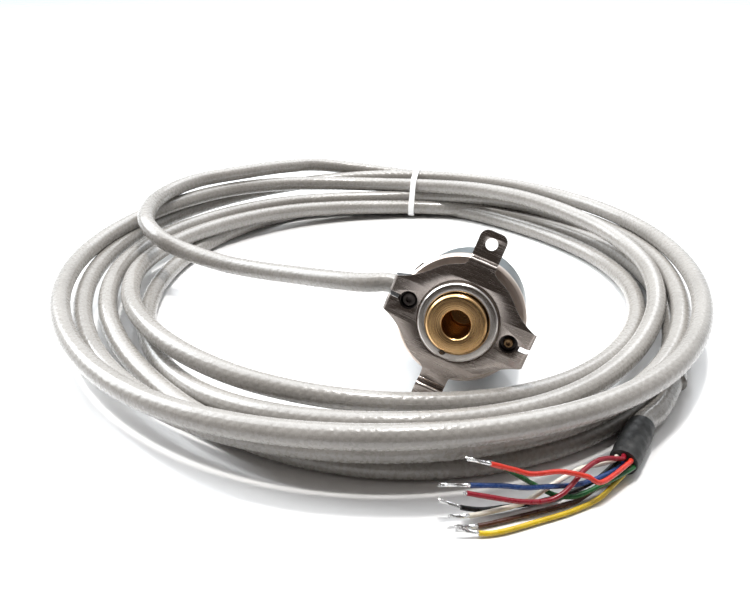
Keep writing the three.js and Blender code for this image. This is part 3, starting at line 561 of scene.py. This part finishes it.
def tie_outline(path):
    """Outline round all the turns where the tie holds them, as (radius, height)."""
    angle = math.radians(TIE_ANGLE)
    out = Vector((math.sin(angle), math.cos(angle), 0))
    along = Vector((math.cos(angle), -math.sin(angle), 0))
    centres = []
    for a, b in zip(path[:-1], path[1:]):
        a, b = Vector(a) - COIL_CENTRE, Vector(b) - COIL_CENTRE
        if a.dot(out) > 0 and a.dot(along) <= 0 < b.dot(along):
            centres.append((a.dot(out), a.z))
    ring = []
    turns = np.linspace(0, 2 * math.pi, 96, endpoint=False)
    reach = CABLE_RADIUS + TIE_GAP
    for turn in turns:
        way = np.array((math.cos(turn), math.sin(turn)))
        best = max(centres, key=lambda c: float(np.dot(c, way)))
        ring.append(np.array(best) + way * reach)
    return [(r, max(z, TIE_MIDDLE_LOWEST)) for r, z in ring], out, along


def make_tie(path):
    """A flat white band drawn tight round the turns."""
    outline, out, along = tie_outline(path)
    middle = np.mean(outline, axis=0)
    verts = []
    for r, z in outline:
        away = np.array((r, z)) - middle
        away /= np.linalg.norm(away)
        for depth, wide in ((-1, -1), (1, -1), (1, 1), (-1, 1)):
            p = np.array((r, z)) + away * TIE_HALF_THICKNESS * depth
            height = Vector((0, 0, float(max(p[1], TIE_LOWEST))))
            verts.append((out * float(p[0]) + along * TIE_HALF_WIDTH * wide + height + COIL_CENTRE) * MM)
    count = len(outline)
    faces = []
    for i in range(count):
        here = i * 4
        ahead = (i + 1) % count * 4
        for k in range(4):
            n = (k + 1) % 4
            faces.append((here + k, here + n, ahead + n, ahead + k))
    mesh = bpy.data.meshes.new("tie_band")
    mesh.from_pydata([tuple(v) for v in verts], [], faces)
    return dress(placed("tie_band", mesh), "white_plastic", nodes=["cable_tie"])


def sleeve_axes():
    along = (SLEEVE_TO - SLEEVE_FROM).normalized()
    return along, Vector((-along.y, along.x, 0))


def make_sleeve():
    """Shrunk tube: necked over the cable, rippled along its length, flared over the wires."""
    along, _ = sleeve_axes()
    length = (SLEEVE_TO - SLEEVE_FROM).length
    rng = random.Random(5)
    ripples = [(rng.uniform(0.6, 2.4), rng.uniform(0, 6.28), rng.choice((1, 2, 3, 5)),
                rng.uniform(0.01, 0.045)) for _ in range(14)]

    def radius(place, angle):
        t = place / length
        neck = 3.5 + 0.3 * math.sin(math.pi * min(1, t * 1.15)) ** 0.6
        rounded = math.sqrt(max(0.0, 1 - max(0.0, 1 - place / 0.9) ** 2))
        ripple = sum(size * math.sin(rate * place + turn + count * angle)
                     for rate, turn, count, size in ripples)
        fade = min(1, place / 2) * min(1, (length - place) / 1.5 + 0.3)
        flat = 0.12 * max(0.0, -math.sin(angle)) ** 3
        return max(0.4, neck * (0.86 + 0.14 * rounded) + 0.6 * ripple * fade - flat)

    middle = [from_coil(SLEEVE_FROM + along * s) for s in np.linspace(SLEEVE_SET_BACK, length, 8)]
    path, places = smooth_path(middle, 0.3)
    sleeve = sweep("sleeve", path, places, radius, around=48)
    return dress(sleeve, "heat_shrink_sleeve", nodes=["heat_shrink"])


def wire_route(colour):
    along, across = sleeve_axes()
    start = SLEEVE_TO.copy()
    if colour in WIRE_START_ANGLES:
        angle = math.radians(WIRE_START_ANGLES[colour])
        start += across * WIRE_START_RADIUS * math.cos(angle)
        start.z += WIRE_START_RADIUS * math.sin(angle)
    return [from_coil(p) for p in [start, start + along * WIRE_STRAIGHT_RUN] + WIRE_POINTS[colour]]


def bare_tip(colour, path):
    """Tinned strands twisted together, splaying a little at the very tip."""
    _, side, top = path_frames(path)
    combined = bmesh.new()
    for strand in range(STRANDS):
        phase = 2 * math.pi * strand / STRANDS
        line = []
        for i, centre in enumerate(path):
            share = i / (len(path) - 1)
            turn = phase + 2 * math.pi * i * WIRE_STEP / STRAND_PITCH
            reach = STRAND_LAY_RADIUS * (1 + 0.7 * max(0.0, share - 0.75) * 4 * (strand % 2))
            line.append(centre + reach * (side[i] * math.cos(turn) + top[i] * math.sin(turn)))
        line = np.array(line)[: len(path) - (strand * 3) % 4]
        places = np.arange(len(line)) * WIRE_STEP
        tube = sweep(f"strand_{colour}_{strand}", line, places, STRAND_RADIUS, around=7)
        combined.from_mesh(tube.data)
        bpy.data.objects.remove(tube)
    mesh = bpy.data.meshes.new(f"tip_{colour}")
    combined.to_mesh(mesh)
    combined.free()
    return dress(placed(f"tip_{colour}", mesh), "bearing_steel")


def make_wires():
    """Each stripped wire: its insulation, and its twisted bare tip."""
    for colour in WIRE_POINTS:
        path, places = smooth_path(wire_route(colour), WIRE_STEP)
        bare = int(BARE_LENGTH[colour] / WIRE_STEP)
        covered = path[:len(path) - bare]
        wire = sweep(f"wire_{colour}_insulation", covered, places[:len(covered)], WIRE_RADIUS, around=16)
        dress(wire, f"insulation_{colour}", nodes=[f"wire_{colour}"])
        tip = bare_tip(colour, path[len(path) - bare - 3:])


# ------------------------------------------------------------------ encoder

def rounded(profile, radius=0.12, steps=3):
    """The profile with its corners off the axis rounded by a small arc."""
    result = []
    count = len(profile)
    on_axis = profile[0][0] == 0 and profile[-1][0] == 0
    for i, corner in enumerate(profile):
        if on_axis and i in (0, count - 1):
            result.append(corner)
            continue
        here = np.array(corner, float)
        back = np.array(profile[i - 1], float) - here
        ahead = np.array(profile[(i + 1) % count], float) - here
        reach = min(radius, 0.4 * np.linalg.norm(back), 0.4 * np.linalg.norm(ahead))
        a = here + back / np.linalg.norm(back) * reach
        b = here + ahead / np.linalg.norm(ahead) * reach
        for t in np.linspace(0, 1, steps):
            result.append(tuple((1 - t) ** 2 * a + 2 * t * (1 - t) * here + t ** 2 * b))
    return result


def lathe(name, profile, around=128, pose=ENCODER_POSE):
    """A turned piece about z from a list of (radius, height) in mm."""
    closed = not (profile[0][0] == 0 and profile[-1][0] == 0)
    bm = bmesh.new()
    rings = []
    for radius, height in profile:
        if radius < 1e-6:
            rings.append([bm.verts.new((0, 0, height * MM))])
            continue
        rings.append([bm.verts.new((radius * math.cos(a) * MM, radius * math.sin(a) * MM, height * MM))
                      for a in np.linspace(0, 2 * math.pi, around, endpoint=False)])
    pairs = list(zip(rings, rings[1:] + rings[:1])) if closed else list(zip(rings, rings[1:]))
    for low, high in pairs:
        for k in range(around):
            n = (k + 1) % around
            corners = [low[k % len(low)], low[n % len(low)], high[n % len(high)], high[k % len(high)]]
            unique = list(dict.fromkeys(corners))
            if len(unique) > 2:
                bm.faces.new(unique)
    bmesh.ops.recalc_face_normals(bm, faces=bm.faces)
    mesh = bpy.data.meshes.new(name)
    bm.to_mesh(mesh)
    bm.free()
    return placed(name, mesh, pose, sharp=50)


def drilled(piece, *cutters):
    """Cuts holes in a piece with other pieces, which are then removed."""
    for cutter in cutters:
        modifier = piece.modifiers.new("hole", "BOOLEAN")
        modifier.operation = "DIFFERENCE"
        modifier.solver = "EXACT"
        modifier.object = cutter
        bpy.context.view_layer.update()
        with bpy.context.temp_override(object=piece, active_object=piece):
            bpy.ops.object.modifier_apply(modifier=modifier.name)
        bpy.data.objects.remove(cutter)
    piece.data.set_sharp_from_angle(angle=math.radians(35))
    return piece


def pin(x, y, radius, back, front, around=32):
    """A plain rod along the encoder's axis, used to cut a hole."""
    return lathe("cutter", [(0, back), (radius, back), (radius, front), (0, front)], around,
                 ENCODER_POSE @ Matrix.Translation(Vector((x, y, 0)) * MM))


def pin_hole():
    x = PIN_HOLE_AT * math.cos(PIN_HOLE_ANGLE)
    y = PIN_HOLE_AT * math.sin(PIN_HOLE_ANGLE)
    return pin(x, y, PIN_HOLE_RADIUS, 3, 9)


def radial_pose(degrees, z):
    """Pose of a piece whose own z points outwards from the encoder's axis."""
    turn = Matrix.Rotation(math.radians(degrees), 4, "Z")
    tip_over = Matrix.Rotation(math.pi / 2, 4, "Y")
    return ENCODER_POSE @ Matrix.Translation((0, 0, z * MM)) @ turn @ tip_over


def make_flange():
    profile = rounded([
        (7.4, 0), (17.75, 0), (18.5, -0.75), (18.5, -3.2), (16.0, -3.2), (16.0, -7.2), (10.2, -7.2),
        (10.2, -12.4), (9.3, -12.4), (9.3, -7.8), (8.5, -7.8), (8.5, -4.7), (9.3, -4.7), (9.3, -0.6),
        (7.4, -0.6)])
    flange = lathe("flange", profile)
    drilled(flange, *[pin(side * COUPLING_HOLE_AT, 0, 1.4, -4.5, 1) for side in (-1, 1)])
    return dress(flange, "flange_aluminium", nodes=["flange_body"])


def make_cover():
    profile = rounded([
        (0, -24), (16.9, -24), (17.5, -23.4), (17.5, -3.5), (16.7, -3.5), (16.7, -22.8), (0, -22.8)],
        radius=0.25, steps=4)
    cover = lathe("cover", profile)
    cable_hole = lathe("cutter", [(0, 14), (4.4, 14), (4.4, 19), (0, 19)], 48,
                       radial_pose(math.degrees(CABLE_ANGLE), CABLE_Z))
    screw_hole = [(0, 16), (1.1, 16), (1.1, 19), (0, 19)]
    holes = [lathe("cutter", screw_hole, 24, radial_pose(angle, COVER_SCREW_Z))
             for angle in COVER_SCREW_ANGLES]
    drilled(cover, cable_hole, *holes)
    return dress(cover, "cover_aluminium", nodes=["rear_cap"])


def make_cover_screws():
    for index, angle in enumerate(COVER_SCREW_ANGLES):
        profile = rounded([(0, 12.8), (0.8, 12.8), (0.8, 17.8), (1.6, 17.8), (1.6, 18.75), (1.45, 18.9),
                           (0.45, 18.9), (0.45, 18.3), (0, 18.3)], 0.06)
        screw = lathe(f"cover_screw_{index + 1}_head", profile, 32, radial_pose(angle, COVER_SCREW_Z))
        dress(screw, "dark_screw", nodes=[f"cover_screw_{index + 1}"])


def make_hub():
    profile = rounded([
        (0, -9.2), (3.6, -9.2), (4.0, -8.8), (4.0, 7.45), (4.35, 7.8), (7.85, 7.8), (8.4, 7.25), (8.4, 0.4),
        (6.0, 0.4), (6.0, -11.7), (4.9, -11.7), (4.9, -12.5), (6.0, -12.5), (6.0, -13.0),
        (3.5, -13.0), (3.5, -17), (0, -17)], 0.08)
    hub = lathe("hub", profile)
    drilled(hub, pin_hole())
    return dress(hub, "hub_brass", ROTOR, ["hub_shaft"])


def make_clamp_ring():
    profile = rounded([(8.7, 0.5), (11.2, 0.5), (11.2, 5.0), (10.75, 5.5), (9.0, 5.5), (8.7, 5.2)], 0.1)
    ring = lathe("clamp_ring_turned", profile)
    notch = pin(NOTCH_AT * math.cos(NOTCH_ANGLE), NOTCH_AT * math.sin(NOTCH_ANGLE), NOTCH_RADIUS, 4.7, 7)
    drilled(ring, pin_hole(), notch)
    return dress(ring, "ring_steel", ROTOR, ["clamp_ring"])


def make_grommet():
    profile = rounded([
        (3.45, 16.3), (4.1, 16.3), (4.1, 17.9), (4.8, 18.3), (4.7, 19.4), (4.2, 21.6), (3.95, 23.6),
        (3.45, 23.6)], 0.15)
    grommet = lathe("grommet", profile, 64, radial_pose(math.degrees(CABLE_ANGLE), CABLE_Z))
    return dress(grommet, "black_rubber", nodes=["cable_grommet"])


def make_coupling_fixings():
    for name, side, slot, head in (("right", 1, "gilt_screw", 1.4), ("left", -1, "dark_screw", 2.0)):
        pose = ENCODER_POSE @ Matrix.Translation((side * COUPLING_HOLE_AT * MM, 0, 0))
        screw = lathe(f"coupling_screw_{name}_head", rounded([
            (0, -4.2), (1.1, -4.2), (1.1, 1.5), (head, 1.5), (head, 2.45), (head - 0.25, 2.7),
            (0.45 * head, 2.7), (0.45 * head, 1.9), (0, 1.9)], 0.08), 48, pose)
        dress(screw, slot, nodes=[f"coupling_screw_{name}"])
        spacer = lathe(f"coupling_boss_{name}", rounded([
            (1.4, 0.3), (3.2, 0.3), (3.2, 3.1), (2.3, 3.1), (2.3, 1.2), (1.4, 1.2)], 0.08), 64, pose)
        dress(spacer, "dark_screw", nodes=[f"coupling_spacer_{name}"])


# The coupling is cut flat and then folded: each fold is two quarter bends with a step between.
SHEET_MIDDLE = 3.65
BEND = 0.8
QUARTER = BEND * math.pi / 2
FOLDS = {
    "upper": {"from": 17.35, "step": -1.5},
    "lower": {"from": 18.65, "step": 2.8},
}
TAB_HALF = 3.9
TAB_TIP = 26.5
TAB_HOLE_AT = 23
EAR_FOLD_FROM = 19.85
EAR_BEND = 1.1
EAR_FOLD_DEPTH = 0.35
PLATE_RADIUS = 16.25
PLATE_HOLE_RADIUS = 11.8
TAB_HOLE_RADIUS = 1.75
TAB_CORNER = 2.3
SLOT_HALF = 0.7
KEYHOLE_RADIUS = 2.65
# Half the angle that the slot's mouth takes out of the keyhole.
KEYHOLE_MOUTH = math.degrees(math.asin(SLOT_HALF / KEYHOLE_RADIUS))


def flat_length(fold, y):
    """Where a point y of the folded tab lies on the flat sheet."""
    return y - 2 * BEND + 2 * QUARTER + abs(FOLDS[fold]["step"])


def folded(fold, y, z):
    """(y, z) after folding, of a point y from the axis on the flat sheet and z from its middle."""
    start, step = FOLDS[fold]["from"], FOLDS[fold]["step"]
    way = math.copysign(1, step)
    s = y - start
    if s <= 0:
        return y, SHEET_MIDDLE + z
    if s < QUARTER:
        a = s / BEND
        return (start + (BEND - way * z) * math.sin(a),
                SHEET_MIDDLE + way * (BEND - (BEND - way * z) * math.cos(a)))
    s -= QUARTER
    if s < abs(step):
        return start + BEND - way * z, SHEET_MIDDLE + way * (BEND + s)
    s -= abs(step)
    top = SHEET_MIDDLE + way * (BEND + abs(step))
    if s < QUARTER:
        a = s / BEND
        return (start + 2 * BEND - (BEND + way * z) * math.cos(a),
                top + way * (BEND + way * z) * math.sin(a))
    return start + 2 * BEND + s - QUARTER, top + way * BEND + z


def fold_ear(x, z):
    s = x - EAR_FOLD_FROM
    if s <= 0:
        return x, SHEET_MIDDLE + z
    quarter = EAR_BEND * math.pi / 2
    if s < quarter:
        a = s / EAR_BEND
        return (EAR_FOLD_FROM + (EAR_BEND + z) * math.sin(a),
                SHEET_MIDDLE - EAR_BEND + (EAR_BEND + z) * math.cos(a))
    return EAR_FOLD_FROM + EAR_BEND + z, SHEET_MIDDLE - EAR_BEND - (s - quarter)


def arc(cx, cy, radius, start, end, steps=8):
    return [(cx + radius * math.cos(math.radians(a)), cy + radius * math.sin(math.radians(a)))
            for a in np.linspace(start, end, steps)]


def bezier(a, b, c, steps=9):
    return [tuple((1 - t) ** 2 * np.array(a) + 2 * t * (1 - t) * np.array(b) + t * t * np.array(c))
            for t in np.linspace(0, 1, steps)]


def on_plate(degrees):
    return arc(0, 0, PLATE_RADIUS, degrees, degrees, 1)[0]


def quarter_of_plate(fold):
    """From the ear's slot, round the ear, along the plate and out to the middle of a tab's tip."""
    flat_edge = EAR_FOLD_FROM + EAR_BEND * math.pi / 2 + EAR_FOLD_DEPTH
    tip = flat_length(fold, TAB_TIP)
    return ([(flat_edge, SLOT_HALF), (flat_edge, 4.85), (flat_edge - 0.25, 5.1)]
            + bezier((21.0, 5.1), (15.8, 6.8), on_plate(42), 12)
            + arc(0, 0, PLATE_RADIUS, 44, 66, 8)
            + bezier(on_plate(68), (TAB_HALF, 15.9), (TAB_HALF, 17.2), 7)
            + arc(TAB_HALF - TAB_CORNER, tip - TAB_CORNER, TAB_CORNER, 0, 90, 10))


def mirrored(points, across, up):
    """The points with x times across and y times up, each 1 or -1."""
    return [(x * across, y * up) for x, y in points]


def coupling_outline():
    """Outline of the flat sheet, with the two slots and keyholes as part of it."""
    upper = quarter_of_plate("upper")
    lower = quarter_of_plate("lower")
    right_hole = arc(COUPLING_HOLE_AT, 0, KEYHOLE_RADIUS, -KEYHOLE_MOUTH, -360 + KEYHOLE_MOUTH, 40)
    left_hole = mirrored(
        arc(COUPLING_HOLE_AT, 0, KEYHOLE_RADIUS, KEYHOLE_MOUTH, 360 - KEYHOLE_MOUTH, 40), -1, 1)
    return (upper + mirrored(upper, -1, 1)[::-1] + left_hole + mirrored(lower, -1, -1)
            + mirrored(lower, 1, -1)[::-1] + right_hole)


def make_coupling():
    """Spring-steel plate with folded ears and two stepped tabs."""
    curve = bpy.data.curves.new("coupling_flat", "CURVE")
    curve.dimensions = "2D"
    curve.fill_mode = "BOTH"
    curve.extrude = 0.21 * MM
    curve.bevel_depth = 0.04 * MM
    curve.bevel_resolution = 1
    loops = [coupling_outline(), arc(0, 0, PLATE_HOLE_RADIUS, 0, 360, 97)[:-1]]
    loops.append(arc(0, flat_length("upper", TAB_HOLE_AT), TAB_HOLE_RADIUS, 0, 360, 41)[:-1])
    loops.append(arc(0, -flat_length("lower", TAB_HOLE_AT), TAB_HOLE_RADIUS, 0, 360, 41)[:-1])
    for loop in loops:
        spline = curve.splines.new("POLY")
        spline.points.add(len(loop) - 1)
        spline.points.foreach_set("co", [c for x, y in loop for c in (x * MM, y * MM, 0, 1)])
        spline.use_cyclic_u = True
    flat = bpy.data.objects.new("coupling_flat", curve)
    bpy.context.scene.collection.objects.link(flat)
    bpy.context.view_layer.update()
    mesh = bpy.data.meshes.new_from_object(flat.evaluated_get(bpy.context.evaluated_depsgraph_get()))
    bpy.data.objects.remove(flat)
    bm = bmesh.new()
    bm.from_mesh(mesh)
    bmesh.ops.remove_doubles(bm, verts=bm.verts, dist=1e-7)
    fold_lines(bm)
    for vert in bm.verts:
        x, y, z = (c / MM for c in vert.co)
        if abs(x) > EAR_FOLD_FROM:
            edge, height = fold_ear(abs(x), z)
            vert.co = Vector((math.copysign(edge, x), y, height)) * MM
        else:
            fold = "upper" if y > 0 else "lower"
            out, height = folded(fold, abs(y), z)
            vert.co = Vector((x, math.copysign(out, y), height)) * MM
    bmesh.ops.recalc_face_normals(bm, faces=bm.faces)
    bm.to_mesh(mesh)
    bm.free()
    mesh.name = "coupling"
    coupling = placed("coupling", mesh, ENCODER_POSE, sharp=38)
    return dress(coupling, "spring_steel", nodes=["stator_coupling"])


def fold_lines(bm):
    """Adds edges across the sheet wherever it is about to bend."""
    def slice_at(point, normal):
        geometry = bm.verts[:] + bm.edges[:] + bm.faces[:]
        bmesh.ops.bisect_plane(bm, geom=geometry, plane_co=Vector(point) * MM, plane_no=normal, dist=1e-8)

    for fold, sign in (("upper", 1), ("lower", -1)):
        start, step = FOLDS[fold]["from"], abs(FOLDS[fold]["step"])
        first_bend = list(np.linspace(0, QUARTER, 6))
        second_bend = list(np.linspace(QUARTER + step, 2 * QUARTER + step, 6))
        for s in first_bend + second_bend:
            slice_at((0, sign * (start + s), 0), (0, 1, 0))
    for sign in (-1, 1):
        for s in np.linspace(0, EAR_BEND * math.pi / 2, 6):
            slice_at((sign * (EAR_FOLD_FROM + s), 0, 0), (1, 0, 0))


def dress_kept_nodes():
    """The CAD nodes that stay, mostly inside the cover, get their slot's material."""
    slots = {part["node"]: part["material_slot"] for part in frame["record"]["subparts"]}
    for name, node in frame["nodes"].items():
        if node.hide_render:
            continue
        for index in range(max(1, len(node.material_slots))):
            if node.material_slots:
                node.material_slots[index].material = MATERIALS[slots[name]]
            else:
                node.data.materials.append(MATERIALS[slots[name]])


# ------------------------------------------------------------------ stage

def make_stage():
    mesh = bpy.data.meshes.new("table")
    half = 4.0
    corners = [(-half, -half, 0), (half, -half, 0), (half, half, 0), (-half, half, 0)]
    mesh.from_pydata(corners, [], [(0, 1, 2, 3)])
    mesh.materials.append(floor_material())
    table = bpy.data.objects.new("table", mesh)
    table.location.z = -0.0001
    bpy.context.scene.collection.objects.link(table)


def area_light(name, place, target, size, power, colour=(1, 1, 1)):
    light = bpy.data.lights.new(name, "AREA")
    light.shape = "RECTANGLE"
    light.size, light.size_y = size
    light.energy = power
    light.color = colour
    piece = bpy.data.objects.new(name, light)
    piece.location = place
    piece.rotation_euler = (Vector(target) - Vector(place)).to_track_quat("-Z", "Y").to_euler()
    bpy.context.scene.collection.objects.link(piece)


def make_light():
    """A tall window behind, a smaller one at the left, and a lamp for the small highlights."""
    area_light("window", (-0.15, 0.75, 1.35), (0, 0.05, 0), (2.4, 1.4), 40, (0.94, 0.97, 1.0))
    area_light("left_window", (-0.75, 0.3, 0.55), (-0.1, 0.05, 0), (0.6, 0.5), 7, (0.94, 0.98, 1.0))
    area_light("lamp", (0.03, 0.1, 0.8), (0, 0.06, 0), (0.07, 0.07), 4.5, (1.0, 0.98, 0.95))
    make_world()
    bpy.context.scene.view_settings.view_transform = "Standard"
    bpy.context.scene.view_settings.exposure = 0.0


def make_world():
    """A room that is bright behind the object and dark in front of it."""
    world = bpy.data.worlds.new("studio")
    world.use_nodes = True
    tree = world.node_tree
    background = tree.nodes["Background"]
    coords = tree.nodes.new("ShaderNodeTexCoord")
    split = tree.nodes.new("ShaderNodeSeparateXYZ")
    ramp = tree.nodes.new("ShaderNodeValToRGB")
    stretch = tree.nodes.new("ShaderNodeMapRange")
    stretch.inputs["From Min"].default_value = -1.0
    tree.links.new(coords.outputs["Generated"], split.inputs[0])
    tree.links.new(split.outputs["Y"], stretch.inputs["Value"])
    tree.links.new(stretch.outputs["Result"], ramp.inputs[0])
    shades = [(0.0, (0.045, 0.036, 0.030)), (0.22, (0.10, 0.085, 0.075)), (0.5, (0.72, 0.72, 0.72)),
              (0.8, (0.95, 1.0, 1.04))]
    set_stops(ramp, shades)
    tree.links.new(ramp.outputs["Color"], background.inputs["Color"])
    background.inputs["Strength"].default_value = 1.0
    bpy.context.scene.world = world


# ------------------------------------------------------------------ build

make_camera()
MATERIALS = make_materials()
cable, cable_path, cable_length = make_cable()
sleeve = make_sleeve()
tie = make_tie(cable_path)
make_wires()
make_flange()
make_cover()
make_cover_screws()
make_hub()
make_clamp_ring()
make_grommet()
make_coupling_fixings()
make_coupling()
dress_kept_nodes()
make_stage()
make_light()
